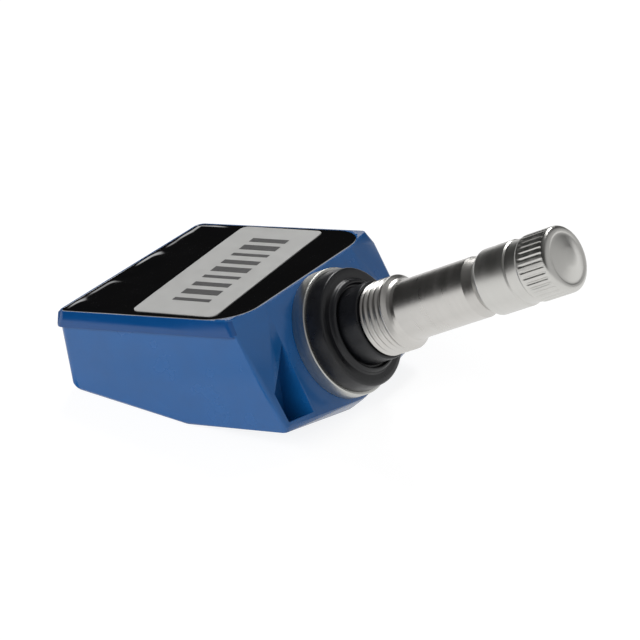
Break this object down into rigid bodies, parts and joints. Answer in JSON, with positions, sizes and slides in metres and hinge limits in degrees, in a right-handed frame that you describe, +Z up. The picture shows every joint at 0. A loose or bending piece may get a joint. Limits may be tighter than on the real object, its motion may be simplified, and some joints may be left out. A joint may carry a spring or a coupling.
{
  "type": "tyre pressure sensor",
  "caption": "Clamp-in tyre pressure sensor: resin-filled moulded box with a label, on an angled metal valve stem with a rubber grommet and a screw cap.",
  "frame": {"origin": "centre of the rim's valve hole, on the front face of the grommet's flange, where it seats inside the rim", "axes": "+Z up with the box lying on its sloped underside, +X along the box towards the valve, so the valve leans up and towards +X; +Y completes the right-handed set"},
  "size_m": [0.0752, 0.0382, 0.0366],
  "materials": {
    "blue_plastic": "satin moulded",
    "black_resin": "glossy cast",
    "label_film": "matte",
    "label_print": "matte",
    "board_green": "satin",
    "steel": "bright",
    "nickel": "bright",
    "chip_black": "matte",
    "gasket_rubber": "matte",
    "ceramic": "matte",
    "ferrite": "matte",
    "copper": "bright",
    "brass": "bright",
    "grey_metal": "satin turned",
    "grey_metal_cap": "satin turned",
    "black_rubber": "satin",
    "white_plastic": "satin"
  },
  "bodies": {
    "sensor": {"housing": "blue_plastic", "resin": "black_resin", "label": "label_film", "label_bars": "label_print", "circuit_board": "board_green", "coin_cell": "steel", "tab_positive": "nickel", "tab_negative": "nickel", "pressure_chip": "chip_black", "port_gasket": "gasket_rubber", "control_chip": "chip_black", "crystal": "steel", "capacitors": "ceramic", "coil_core": "ferrite", "coil_winding": "copper", "antenna_bow": "brass", "valve_stem": "grey_metal", "grommet": "black_rubber", "core_head": "brass", "core_barrel": "brass", "core_washer": "white_plastic", "core_spring": "steel"},
    "core_plunger": {"core_pin": "brass", "core_cup": "black_rubber"},
    "cap_carrier": {"cap_seal": "black_rubber"},
    "cap": {"cap": "grey_metal_cap"}
  },
  "joints": [
    {"name": "cap_rise", "type": "slide", "parent": "sensor", "child": "cap_carrier", "axis": [0.8554, 0, 0.518], "range_m": [0, 0.00635]},
    {"name": "cap_turn", "type": "hinge", "parent": "cap_carrier", "child": "cap", "pos_m": [0.02566, 0, 0.01554], "axis": [0.8554, 0, 0.518], "range_deg": [0, 2880]},
    {"name": "core_press", "type": "slide", "parent": "sensor", "child": "core_plunger", "axis": [-0.8554, 0, -0.518], "range_m": [0, 0.001], "stiffness_N_per_m": 800, "springref_m": -0.0006, "deforming": ["core_spring"]}
  ],
  "couplings": [
    {"joint": "cap_turn", "follows": "cap_rise", "rad_per_m": 7913.3}
  ]
}
